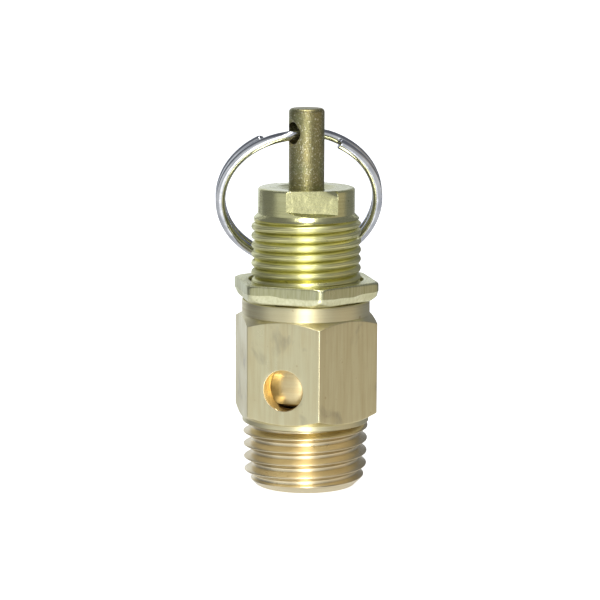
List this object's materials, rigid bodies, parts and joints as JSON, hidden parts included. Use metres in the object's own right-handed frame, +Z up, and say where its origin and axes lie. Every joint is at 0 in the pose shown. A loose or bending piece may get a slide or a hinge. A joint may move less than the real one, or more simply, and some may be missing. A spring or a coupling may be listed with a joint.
{
  "type": "pressure relief valve",
  "caption": "Ring-pull pressure relief valve: hexagon brass body with a tapered pipe thread and side vents, threaded adjusting screw with lock nut, lift stem and split ring.",
  "frame": {"origin": "on the valve's axis, in the plane of the inlet's end face", "axes": "+Z up the valve's axis from the inlet to the pull ring; the front vent opens towards -Y"},
  "size_m": [0.0193, 0.0169, 0.0413],
  "materials": {
    "turned_brass": "drawn hexagon bar and turned surfaces, satin",
    "passivated_brass": "bright turned, greenish yellow passivate",
    "yellow_zinc_steel": "yellow zinc plate over a grainy turned pin",
    "nickel_plate": "bright nickel plate on rolled spring wire",
    "plain_steel": "plain spring and screw steel",
    "seal_rubber": "matt moulded rubber"
  },
  "bodies": {
    "body": {"valve_body": "turned_brass"},
    "nut": {"lock_nut": "passivated_brass"},
    "adjuster_seat": {"upper_spring_washer": "plain_steel", "valve_spring": "plain_steel"},
    "adjuster": {"adjusting_screw": "passivated_brass"},
    "lift": {"lift_stem": "yellow_zinc_steel", "piston": "turned_brass", "seal_disc": "seal_rubber", "seal_retainer": "turned_brass", "seal_screw": "plain_steel"},
    "ring": {"split_ring": "nickel_plate"}
  },
  "joints": [
    {"name": "valve_lift", "type": "slide", "parent": "body", "child": "lift", "axis": [0, 0, 1], "range_m": [0, 0.0015], "stiffness_N_per_m": 200, "springref_m": -0.004, "deforming": ["valve_spring"]},
    {"name": "ring_swing", "type": "hinge", "parent": "lift", "child": "ring", "pos_m": [0, 0, 0.0386], "axis": [0.632, 0.7749, 0], "range_deg": [0, 245]},
    {"name": "adjuster_travel", "type": "slide", "parent": "body", "child": "adjuster_seat", "axis": [0, 0, 1], "range_m": [-0.00101, 0.00201], "deforming": ["valve_spring"]},
    {"name": "adjuster_turn", "type": "hinge", "parent": "adjuster_seat", "child": "adjuster", "pos_m": [0, 0, 0.0226], "axis": [0, 0, 1], "range_deg": [-360, 720]},
    {"name": "lock_nut_turn", "type": "hinge", "parent": "body", "child": "nut", "pos_m": [0, 0, 0.0217], "axis": [0, 0, 1], "range_deg": [0, 90]}
  ],
  "couplings": [
    {"joint": "adjuster_travel", "follows": "adjuster_turn", "m_per_rad": 0.00015915}
  ]
}
